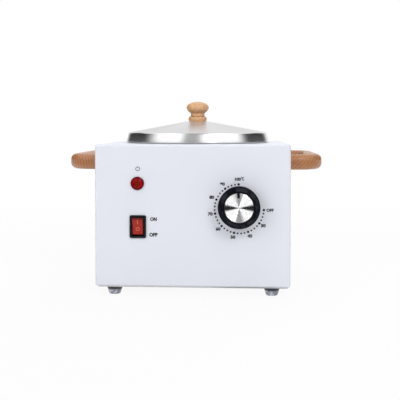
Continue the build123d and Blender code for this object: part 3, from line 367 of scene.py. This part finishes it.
sign_x, sign_z, sign_r, sign_w = -0.0501, 0.1178, 0.0021, 0.00055
sign_gap, bar_z = sign_w * 1.6, sign_r * 0.62
sign = printed_ring(sign_r - sign_w, sign_r, segments=48, thick=ink_t, gap=sign_gap)
bmesh.ops.create_cube(sign, size=1, matrix=Matrix.Translation((0, bar_z, 0))
                      @ Matrix.Diagonal((sign_w, sign_r, ink_t, 1)))
add_shape(film, sign, on_panel(sign_x, sign_z, ink_t / 2))
bmesh.ops.remove_doubles(film, verts=film.verts, dist=1e-7)
bmesh.ops.recalc_face_normals(film, faces=film.faces)
piece("panel_print", film, "base", ink)


# The base plate, the thermostat's bracket and the heater's band: cut and punched from zinc-plated sheet,
# which shows the rolling lines of the steel and the cloudy crystals of the plating.
zinc_sheet = Finish("zinc_plated_sheet", (0.60, 0.61, 0.62), 0.36, Metallic=1.0)
crystal_w = 0.0045
crystal, _, _ = zinc_sheet.parts(zinc_sheet.node("ShaderNodeTexVoronoi", None, out="Color", at={
    "Vector": zinc_sheet.place, "Scale": 1 / crystal_w}))
rolling = zinc_sheet.grain(1.0, 2.0, zinc_sheet.counted((0.06, 0.0005, 0.0005)))
plating = zinc_sheet.lay(crystal * 0.7 + rolling * 0.3, (0.53, 0.54, 0.555), (0.67, 0.675, 0.68))
zinc_sheet.surface(Base_Color=plating, Roughness=0.28 + crystal * 0.10 + rolling * 0.10)
zinc_sheet.relief(rolling, 0.00001)
zinc_sheet.dress("base_plate", "thermostat_bracket", "heater_band")


# The screws, nuts, studs and washers: cold-headed or turned steel under bright zinc, with the fine marks
# that the tools leave and small dull spots from handling.
bright_zinc = Finish("bright_zinc_plate", (0.68, 0.68, 0.70), 0.24, Metallic=1.0)
handling = bright_zinc.grain(0.0022, 3.0)
tool_marks = bright_zinc.grain(0.00025)
bright_zinc.surface(Base_Color=bright_zinc.lay(handling, (0.60, 0.60, 0.63), (0.74, 0.74, 0.745)),
                    Roughness=0.16 + handling.rise(0.45, 0.75) * 0.18)
bright_zinc.relief(tool_marks, 0.000006)
bright_zinc.dress("foot_screws", "foot_nuts", "base_screws", "tie_stud", "tie_nut", "band_bolt", "band_nut",
                  "clip_nuts", "earth_screw", "earth_nut", "handle_screws", "inlet_screws", "inlet_nuts",
                  "lid_knob_screw", "lid_knob_washer", "thermostat_screws")


# The feet: tapered buttons of translucent grey rubber, moulded with a recess for the screw's head. The light
# through the thin wall round the recess is painted into the colour, and so is the shade of the solid top.
case_mid_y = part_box("base_plate")[0].y / 2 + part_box("base_plate")[1].y / 2
foot_low, foot_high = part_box("foot_front_right")
foot_ribs = 11
rubber = Finish("translucent_grey_rubber", (0.42, 0.43, 0.46), 0.34, Transmission_Weight=0.2, IOR=1.45)
speckle = rubber.grain(0.0008, 3.0)
rubber_x, rubber_y, rubber_z = rubber.from_middle(y=case_mid_y)
foot_x = abs(rubber_x) - (foot_low.x + foot_high.x) / 2
foot_y = abs(rubber_y) + (foot_low.y + foot_high.y) / 2 - case_mid_y
rib = (foot_y.math("ARCTAN2", foot_x) * (foot_ribs / pi)).math("FRACT")
cloudy = rubber.grain(0.006, 2.0).rise(0.42, 0.60)
# Painted light and shade: the lower wall is painted light as if lit through, and the top is painted dark as
# shade.
painted_wall_light = (rubber_z + speckle * 0.001).rise(0.0062, 0.0044)
wall = rubber.lay(cloudy, (0.40, 0.42, 0.50), (0.80, 0.82, 0.90))
ribbed_wall = rubber.lay(abs(rib - 0.5).rise(0.32, 0.46) * 0.6, wall, (0.16, 0.17, 0.22))
rubber.surface(Base_Color=rubber.lay(painted_wall_light, (0.03, 0.034, 0.05), ribbed_wall),
               Roughness=0.16 + speckle * 0.1)
rubber.relief(speckle, 0.00002)
rubber.dress("foot_front_left", "foot_front_right", "foot_back_left", "foot_back_right")


# The heating well: an aluminium cup spun over a former and hung by its flange in the round hole of the
# top. The spinning tool leaves fine rings, and the heat has clouded it a little.
axis_y = case_mid_y


class Spun(Finish):
    """Aluminium with the rings of a tool that ran round the upright axis of the well."""

    def __init__(self, name, colour, roughness, pitch, depth, cloud_size, **fixed):
        super().__init__(name, colour, roughness, Metallic=1.0, **fixed)
        x, y, z = self.from_middle(y=axis_y)
        self.radius = off_axis(x, y)
        fine = self.node("ShaderNodeTexNoise", {"noise_dimensions": "1D"}, at={
            "W": (self.radius - z) / pitch, "Detail": 3.0})
        worn = self.grain(cloud_size, 3.0)
        dull = tuple(value * 0.88 for value in colour)
        self.surface(Base_Color=self.lay(fine * 0.5 + worn * 0.5, dull, colour),
                     Roughness=roughness - 0.05 + fine * 0.07 + worn * 0.05)
        self.relief(fine, depth)


spun = Spun("spun_aluminium", (0.74, 0.75, 0.76), roughness=0.32, pitch=0.0006, depth=0.00002,
            cloud_size=0.012, Anisotropic=0.4)
spun.dress("heating_well")


# The wax pot: a lift-out cup, drawn from thicker aluminium and turned over into a bead at its rim. The
# inside is brushed round, so that wax comes off it.
drawn = Spun("drawn_aluminium", (0.80, 0.80, 0.81), roughness=0.28, pitch=0.0009, depth=0.000012,
             cloud_size=0.02, Anisotropic=0.5)
drawn.dress("wax_pot")


# The lid: one sheet of aluminium, spun to a shallow cone with a tapered skirt, a flat land under the knob
# and rounded edges, then polished while it turned.
def turned(*outline, steps=128):
    """A body turned about the Z axis. An outline that starts on the axis is open, and any other is closed."""
    shape = bmesh.new()
    points = [shape.verts.new((r, 0, z)) for r, z in outline]
    ends = points[1:] if outline[0][0] == 0 else points[1:] + points[:1]
    lines = [shape.edges.new(pair) for pair in zip(points, ends)]
    bmesh.ops.spin(shape, geom=points + lines, cent=(0, 0, 0), axis=(0, 0, 1), angle=tau, steps=steps,
                   use_merge=True)
    bmesh.ops.remove_doubles(shape, verts=shape.verts, dist=1e-7)
    bmesh.ops.recalc_face_normals(shape, faces=shape.faces)
    return shape


def round_edges(shape, edges, width, segments):
    """Rounds the edges of a shape."""
    bmesh.ops.bevel(shape, geom=edges, offset=width, segments=segments, profile=0.5, affect="EDGES",
                    material=-1)


def round_rim(shape, r, z, width, segments):
    """Rounds the edge that runs round the Z axis at a radius and height."""
    def on_rim(vertex):
        return abs(vertex.co.xy.length - r) < 2e-5 and abs(vertex.co.z - z) < 2e-5
    round_edges(shape, [edge for edge in shape.edges if all(on_rim(vertex) for vertex in edge.verts)],
                width, segments)


lid_low, lid_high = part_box("lid_shell")
skirt_r, skirt_z = (lid_high.x - lid_low.x) / 2, lid_low.z
cone_r, cone_z = skirt_r - 0.0023, skirt_z + 0.0094
land_r, land_z = 0.0098, lid_high.z
hole_r = 0.00225
lid_t = 0.001
shoulder_drop, land_drop = 0.83 * lid_t, 1.017 * lid_t
lid = turned((hole_r, land_z), (land_r, land_z), (cone_r, cone_z), (skirt_r, skirt_z),
             (skirt_r - lid_t, skirt_z), (cone_r - lid_t, cone_z - shoulder_drop),
             (land_r, land_z - land_drop), (hole_r, land_z - land_drop), steps=192)
round_rim(lid, cone_r, cone_z, width=0.0013, segments=6)
round_rim(lid, land_r, land_z, width=0.0015, segments=3)
round_rim(lid, skirt_r, skirt_z, width=0.0004, segments=3)
polished = Spun("polished_aluminium", (0.93, 0.93, 0.94), roughness=0.24, pitch=0.0005, depth=0.000004,
                cloud_size=0.03, Anisotropic=0.8, Anisotropic_Rotation=0.25)
on_cone = polished.radius.rise(cone_r, cone_r - 0.003)
polished.surface(Roughness=polished.grain(0.03, 3.0) * 0.05 + on_cone * 0.07 + 0.20)
made = piece("lid_spun", lid, "lid", polished, Matrix.Translation((0, axis_y, 0)), sharp=50)
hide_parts("lid_shell")


# The knob and the two handles: beech, turned or bent from steamed bars, sanded and varnished. The knob's
# grain runs up its axis and the handles' runs along their bars.
class Beech(Finish):
    """Varnished beech with its growth rings, fibres and short dark flecks along the grain."""

    def __init__(self, name, light, dark, pith, turn=(0, 0, 0), year=0.0028):
        super().__init__(name, light, 0.4, Coat_Weight=0.35, Coat_Roughness=0.16)
        place = self.counted((1, 1, 1), centre=pith, turn=turn)
        x, y, _ = self.parts(place)
        drift = self.grain(1.0, 2.0, self.counted((0.012, 0.012, 0.09), place=place))
        ring = ((off_axis(x, y) + drift * 0.004) / year).math("FRACT")
        late = ring.rise(0.35, 0.95) * ring.rise(1.0, 0.95)
        fibre = self.grain(1.0, 4.0, self.counted((0.00035, 0.00035, 0.009), place=place))
        cell = self.node("ShaderNodeTexVoronoi", None, out="Distance", at={
            "Vector": self.counted((0.0008, 0.0008, 0.0042), place=place), "Scale": 1.0})
        fleck = cell.rise(0.24, 0.12)
        tone = late * (drift * 0.9 + 0.05) + fibre * 0.50 + drift * 0.30 - 0.22
        fleck_colour = tuple(value * 0.62 for value in dark)
        self.wood = self.lay(fleck * 0.55, self.lay(tone, light, dark), fleck_colour)
        self.surface(Base_Color=self.wood, Roughness=0.34 + fibre * 0.16)
        self.relief(fibre - fleck * 0.5, 0.00004)


handle_wood = Beech("beech_handles", (0.54, 0.236, 0.092), (0.25, 0.092, 0.034), pith=(0.057, 0, 0.153),
                    turn=(radians(84), radians(6), 0))
handle_wood.dress("handle_left", "handle_right")
knob_wood = Beech("beech_knob", (0.77, 0.448, 0.225), (0.62, 0.335, 0.155), pith=(0.045, axis_y + 0.03, 0),
                  year=0.0034)
knob_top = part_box("lid_knob")[1].z
below_top = knob_top - knob_wood.parts(knob_wood.place)[2]
# Painted shade: the groove near the knob's foot and its narrow neck are darkened in the colour, as if in
# shadow.
foot_groove_shade = abs(below_top - 0.0152).rise(0.0007, 0.0003)
neck_shade = below_top.rise(0.0075, 0.0100) * below_top.rise(0.0135, 0.0115)
painted_knob_shade = foot_groove_shade * 0.7 + neck_shade * 0.5
knob_wood.surface(Base_Color=knob_wood.lay(painted_knob_shade, knob_wood.wood, (0.30, 0.120, 0.042)))
knob_wood.dress("lid_knob")


# The thermostat: a brown phenolic body with a steel spindle, brass tabs and a copper capillary that ends
# in the bulb under the well.
class Mottled(Finish):
    """A finish whose colour and gloss drift in soft specks, from a first colour to a second.

    Its relief is as fine as bumps says, or else follows the specks.
    """

    def __init__(self, name, first, second, roughness, duller, specks, detail, depth, bumps=None, **fixed):
        super().__init__(name, second, roughness, **fixed)
        drift = self.grain(specks, detail)
        self.surface(Base_Color=self.lay(drift, first, second), Roughness=roughness + drift * duller)
        self.relief(self.grain(bumps) if bumps else drift, depth)


phenolic = Mottled("brown_phenolic", (0.12, 0.085, 0.07), (0.21, 0.16, 0.13), roughness=0.34, duller=0.20,
                   specks=0.0007, detail=3.0, depth=0.00002)
phenolic.dress("thermostat_body")

steel = Finish("turned_steel", (0.62, 0.62, 0.63), 0.28, Metallic=1.0)
feed_marks = steel.grain(1.0, 2.0, steel.counted((0.004, 0.00012, 0.004)))
steel.surface(Roughness=0.2 + feed_marks * 0.18)
steel.relief(feed_marks, 0.000008)
steel.dress("thermostat_shaft", "switch_plunger")

brass = Mottled("stamped_brass", (0.60, 0.43, 0.19), (0.84, 0.67, 0.35), roughness=0.22, duller=0.20,
                specks=0.003, detail=4.0, depth=0.000006, bumps=0.0003, Metallic=1.0)
brass.dress("thermostat_terminals", "band_terminals", "switch_terminals", "contact_blade", "inlet_pins")

copper = Mottled("drawn_copper", (0.55, 0.25, 0.15), (0.80, 0.48, 0.34), roughness=0.22, duller=0.24,
                 specks=0.004, detail=4.0, depth=0.000006, bumps=0.0004, Metallic=1.0)
copper.dress("capillary_tube", "sensing_bulb")


# The dial's knob: a hollow black moulding with a hub on the spindle. Its front is a rounded ring round a
# shallow pocket, with a pointer block that leans a little left of twelve o'clock.
dial_low, dial_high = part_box("dial_knob")
dial_x, dial_z = (dial_low.x + dial_high.x) / 2, (dial_low.z + dial_high.z) / 2
dial_r = (dial_high.x - dial_low.x) / 2
dial_back, dial_front = panel_y - dial_high.y, panel_y - dial_low.y
back_r, hollow_r = 0.0185, 0.0173
hub_r, bore_r = 0.0055, 0.00305
hollow_end, bore_end = dial_back + 0.006, dial_back + 0.0125
pocket_r, pocket_z = 0.0134, dial_front - 0.001
pocket_lip_r = pocket_r + 0.0004
knob = turned((0, bore_end), (bore_r, bore_end), (bore_r, dial_back), (hub_r, dial_back),
              (hub_r, hollow_end), (hollow_r, hollow_end), (hollow_r, dial_back), (back_r, dial_back),
              (dial_r, dial_front - 0.0016), (dial_r - 0.0003, dial_front - 0.0007),
              (dial_r - 0.0009, dial_front - 0.00025), (dial_r - 0.0019, dial_front),
              (pocket_r + 0.0012, dial_front - 0.0001), (pocket_lip_r, dial_front - 0.0003),
              (pocket_r, dial_front - 0.0007), (pocket_r, pocket_z), (0, pocket_z))
pointer_w, pointer_t, pointer_end, pointer_lean = 0.0023, 0.0009, 0.0090, radians(2.4)
pointer_l, pointer_mid_z = pocket_lip_r - pointer_end, dial_front - 0.0005
block = bmesh.ops.create_cube(knob, size=1, matrix=(
    Matrix.Rotation(pointer_lean, 4, "Z")
    @ Matrix.Translation((0, pointer_end + pointer_l / 2, pointer_mid_z))
    @ Matrix.Diagonal((pointer_w, pointer_l, pointer_t, 1))))
block_edges = dict.fromkeys(edge for vertex in block["verts"] for edge in vertex.link_edges)
front_edges = [edge for edge in block_edges if all(v.co.z > dial_front - 0.0002 for v in edge.verts)]
round_edges(knob, front_edges, width=0.0002, segments=2)
black = Finish("satin_black_moulding", (0.006, 0.007, 0.011), 0.30, Specular_IOR_Level=0.055)
spark = black.grain(0.00035, 2.0)
rubbed_and_sheen = black.grain(0.006, 3.0)
black_x, _, black_z = black.from_middle(x=dial_x, z=dial_z)
black_r = off_axis(black_x, black_z)
# Painted sheen: a lighter band in patches on the ring's face stands in for reflections, while the bevels on
# each side stay dark. The same specks also vary the roughness.
painted_sheen_band = black_r.rise(0.0143, 0.0152) * black_r.rise(0.0184, 0.0174)
black.surface(Base_Color=black.lay(painted_sheen_band * rubbed_and_sheen.rise(0.35, 0.60),
                                   (0.004, 0.005, 0.009), (0.026, 0.028, 0.034)),
              Roughness=0.24 + spark * 0.12 + rubbed_and_sheen * 0.08)
black.relief(spark, 0.000012)
made = piece("dial_knob_moulding", knob, "dial", black, on_panel(dial_x, dial_z))
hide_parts("dial_knob")


# The disc in the dial's front: aluminium faced on a lathe. The tool leaves grooves of two steepnesses,
# which fan the reflections out to each side of the disc.
disc_r, disc_back, disc_front = 0.01325, dial_front - 0.00095, dial_front - 0.00045
groove_w, grooves, shallow, steep = 0.00032, 40, 0.50, 0.64
outline = [(0, disc_back), (disc_r, disc_back), (disc_r, disc_front)]
for count in range(1, grooves + 1):
    depth = groove_w / 2 * (shallow if count % 2 else steep)
    outline.append((disc_r - groove_w * count, disc_front - depth))
    outline.append((disc_r - groove_w * (count + 0.5), disc_front))
outline.append((0, disc_front))
faced = Finish("faced_aluminium", (0.93, 0.93, 0.94), 0.2, Metallic=1.0)
swarf = faced.grain(0.0004, 2.0)
faced.surface(Base_Color=faced.lay(swarf.rise(0.35, 0.65), (0.66, 0.66, 0.67), (0.93, 0.93, 0.935)),
              Roughness=0.10 + swarf * 0.05)
disc = turned(*outline)
made = piece("dial_disc", disc, "dial", faced, on_panel(dial_x, dial_z), sharp=20)
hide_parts("dial_insert")


# The safety fuse and the bulb under the well: a plated can, held with the bulb by two saddle clips of
# spring steel, which also makes the washer behind the lamp.
can = Mottled("plated_can", (0.60, 0.56, 0.48), (0.76, 0.72, 0.64), roughness=0.24, duller=0.22,
              specks=0.0016, detail=4.0, depth=0.00001, Metallic=1.0)
can.dress("thermal_fuse")

spring = Mottled("spring_steel", (0.36, 0.37, 0.42), (0.52, 0.51, 0.49), roughness=0.22, duller=0.18,
                 specks=0.005, detail=3.0, depth=0.000008, bumps=0.0003, Metallic=1.0)
spring.dress("bulb_clip", "fuse_clip", "lamp_clip")


# The switch: a gloss black moulding, pressed into its cut-out, with a red rocker on two pivots. The bar and
# the ring on the rocker's halves are printed in pale ink.
gloss_black = Mottled("gloss_black_moulding", (0.010, 0.010, 0.012), (0.018, 0.018, 0.021),
                      roughness=0.14, duller=0.12, specks=0.004, detail=3.0, depth=0.00001,
                      bumps=0.0007, Specular_IOR_Level=0.2)
gloss_black.dress("switch_housing")

switch_low, switch_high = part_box("switch_housing")
rocker_w, reach, low_reach, lean = 0.0099, 0.00835, 0.0072, radians(11)
crease, crown, crown_y = 0.0012, 0.00275, reach - 0.0004
heel, heel_y, keel = -0.00175, reach * 0.98, -0.0035
pivot_out = 0.0003
pivot = on_panel((switch_low.x + switch_high.x) / 2, (switch_low.z + switch_high.z) / 2, pivot_out)
rocker_place = pivot @ Matrix.Rotation(lean, 4, "X")
paddle = bmesh.new()
side_line = [(0, crease), (crown_y, crown), (reach, 0), (heel_y, heel), (reach / 2, keel)]
side_line += [(-y * low_reach / reach, z) for y, z in reversed(side_line[1:])]
corners = [paddle.verts.new((-rocker_w / 2, y, z)) for y, z in side_line]
blank = bmesh.ops.extrude_face_region(paddle, geom=[paddle.faces.new(corners)])
far_side = [part for part in blank["geom"] if isinstance(part, bmesh.types.BMVert)]
bmesh.ops.translate(paddle, vec=(rocker_w, 0, 0), verts=far_side)
bmesh.ops.recalc_face_normals(paddle, faces=paddle.faces)
outer = [edge for edge in paddle.edges if all(vertex.co.z > 0.0005 for vertex in edge.verts)
         and not all(abs(vertex.co.y) < 1e-6 for vertex in edge.verts)]
round_edges(paddle, outer, width=0.0006, segments=4)
red = Finish("red_rocker_moulding", (0.40, 0.022, 0.018), 0.26, Specular_IOR_Level=0.3)
flow = red.grain(0.005, 3.0)
red_x, _, red_z = red.from_middle(*pivot.translation)
# Painted shade: the rocker's top end and its sides are darkened in the colour, as if shaded by the bezel.
painted_bezel_shade = red_z.rise(0.0052, 0.0078).math("MAXIMUM", abs(red_x).rise(0.0040, 0.0049) * 0.6)
moulded = red.lay(flow, (0.33, 0.012, 0.006), (0.40, 0.020, 0.010))
red.surface(Base_Color=red.lay(painted_bezel_shade * 0.8, moulded, (0.10, 0.004, 0.005)), Roughness=0.2 + flow * 0.12)
red.relief(red.grain(0.0005), 0.00001)
made = piece("rocker_paddle", paddle, "rocker", red, rocker_place)
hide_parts("switch_rocker")

mark_t = 0.00005
bar_w, bar_l, bar_y = 0.0007, 0.0042, 0.0051
ring_inner_r, ring_outer_r, ring_y = 0.0012, 0.0017, 0.00175
marks = bmesh.new()


def on_half(side, along):
    """A place on the rocker's upper (1) or lower (-1) half, with its own +Z out of that face."""
    slope = (crown - crease) / crown_y * (1 if side > 0 else reach / low_reach)
    middle = Matrix.Translation((0, side * along, crease + slope * along + mark_t / 2))
    return rocker_place @ middle @ Matrix.Rotation(side * slope, 4, "X")


bmesh.ops.create_cube(marks, size=1, matrix=on_half(1, bar_y) @ Matrix.Diagonal((bar_w, bar_l, mark_t, 1)))
off_ring = printed_ring(ring_inner_r, ring_outer_r, segments=32, thick=mark_t)
add_shape(marks, off_ring, on_half(-1, ring_y))
bmesh.ops.recalc_face_normals(marks, faces=marks.faces)
pale_ink = Finish("pale_rocker_ink", (0.80, 0.16, 0.09), 0.4)
pale_ink.surface(Roughness=0.34 + pale_ink.grain(0.0005) * 0.14)
piece("rocker_marks", marks, "rocker", pale_ink)


# The indicator lamp: a clear red moulding whose head sits on the panel, with small prisms moulded inside
# its face, and a neon bulb in the barrel behind.
lamp_low, lamp_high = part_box("lamp_lens")
lamp_x, lamp_z = (lamp_low.x + lamp_high.x) / 2, (lamp_low.z + lamp_high.z) / 2
prism_w = 0.0016
lens = Finish("clear_red_lens", (0.30, 0.004, 0.004), 0.12, Specular_IOR_Level=0.1)
lens_x, _, lens_z = lens.from_middle(x=lamp_x, z=lamp_z)
lens_r = off_axis(lens_x, lens_z)
across, upward = [abs((part / prism_w).math("FRACT") - 0.5) * 2 for part in (lens_x, lens_z)]
prisms = across * upward * lens_r.rise(0.0030, 0.0022)
dome = lens_r.rise(0.0018, 0.0032)
# Painted light and shade: the moulded prisms are painted light and dark as glints, and the edge of the head
# is painted dark as shade.
rim = lens_r.rise(0.0044, 0.0052)
mottle = lens.grain(prism_w, 1.0).rise(0.36, 0.62)
face = lens.lay(prisms, (0.08, 0.0005, 0.0), (0.50, 0.030, 0.0))
side = lens.lay(mottle, (0.17, 0.0, 0.002), (0.40, 0.001, 0.002))
lens.surface(Base_Color=lens.lay(rim, lens.lay(dome, face, side), (0.12, 0.002, 0.012)),
             Roughness=0.1 + rim * 0.15)
lens.relief(prisms, 0.0003)
lens.dress("lamp_lens")

glass = Finish("neon_glass", (0.95, 0.92, 0.88), 0.05, Transmission_Weight=0.9, IOR=1.5)
electrode = abs(glass.from_middle(x=lamp_x, z=lamp_z)[0]).rise(0.0006, 0.0004)
glass.surface(Base_Color=glass.lay(electrode, (0.95, 0.92, 0.88), (0.55, 0.42, 0.34)),
              Roughness=0.04 + electrode * 0.2)
glass.dress("lamp_bulb")


# The mains inlet: a satin black moulding screwed to the back, with a fine spark texture on its flange and
# three brass pins in its socket.
inlet = Mottled("satin_black_inlet", (0.015, 0.015, 0.017), (0.028, 0.028, 0.031), roughness=0.34,
                duller=0.20, specks=0.0005, detail=3.0, depth=0.00003)
inlet.dress("inlet_body")


# The leads: stranded wire in soft silicone, brown and blue for the mains, white near the heat, and green
# and yellow to the earth screw. The insulation is dusted with talc.
class Silicone(Finish):
    """The insulation of a lead, in one colour or with bands of a second."""

    def __init__(self, name, colour, band=None):
        super().__init__(name, colour, 0.5, Coat_Weight=0.1, Coat_Roughness=0.35)
        talc = self.grain(0.003, 4.0)
        pale = tuple(value * 0.75 + 0.09 for value in colour)
        ground = self.lay(talc * 0.6, colour, pale)
        if band:
            x, y, z = self.parts(self.place)
            stripe = ((x + y * 0.6 + z * 0.8) / 0.005).math("FRACT")
            ground = self.lay(stripe.rise(0.30, 0.36) * stripe.rise(0.72, 0.66), ground, band)
        self.surface(Base_Color=ground, Roughness=0.42 + talc * 0.2)
        self.relief(self.grain(0.0006), 0.00002)


Silicone("brown_silicone", (0.20, 0.09, 0.04)).dress("lead_live", "lead_switched", "lead_lamp_live")
Silicone("blue_silicone", (0.05, 0.16, 0.45)).dress("lead_neutral", "lead_lamp_neutral")
Silicone("white_silicone", (0.72, 0.70, 0.66)).dress("lead_fuse", "lead_heater")
Silicone("earth_silicone", (0.16, 0.42, 0.07), band=(0.72, 0.62, 0.05)).dress("lead_earth")
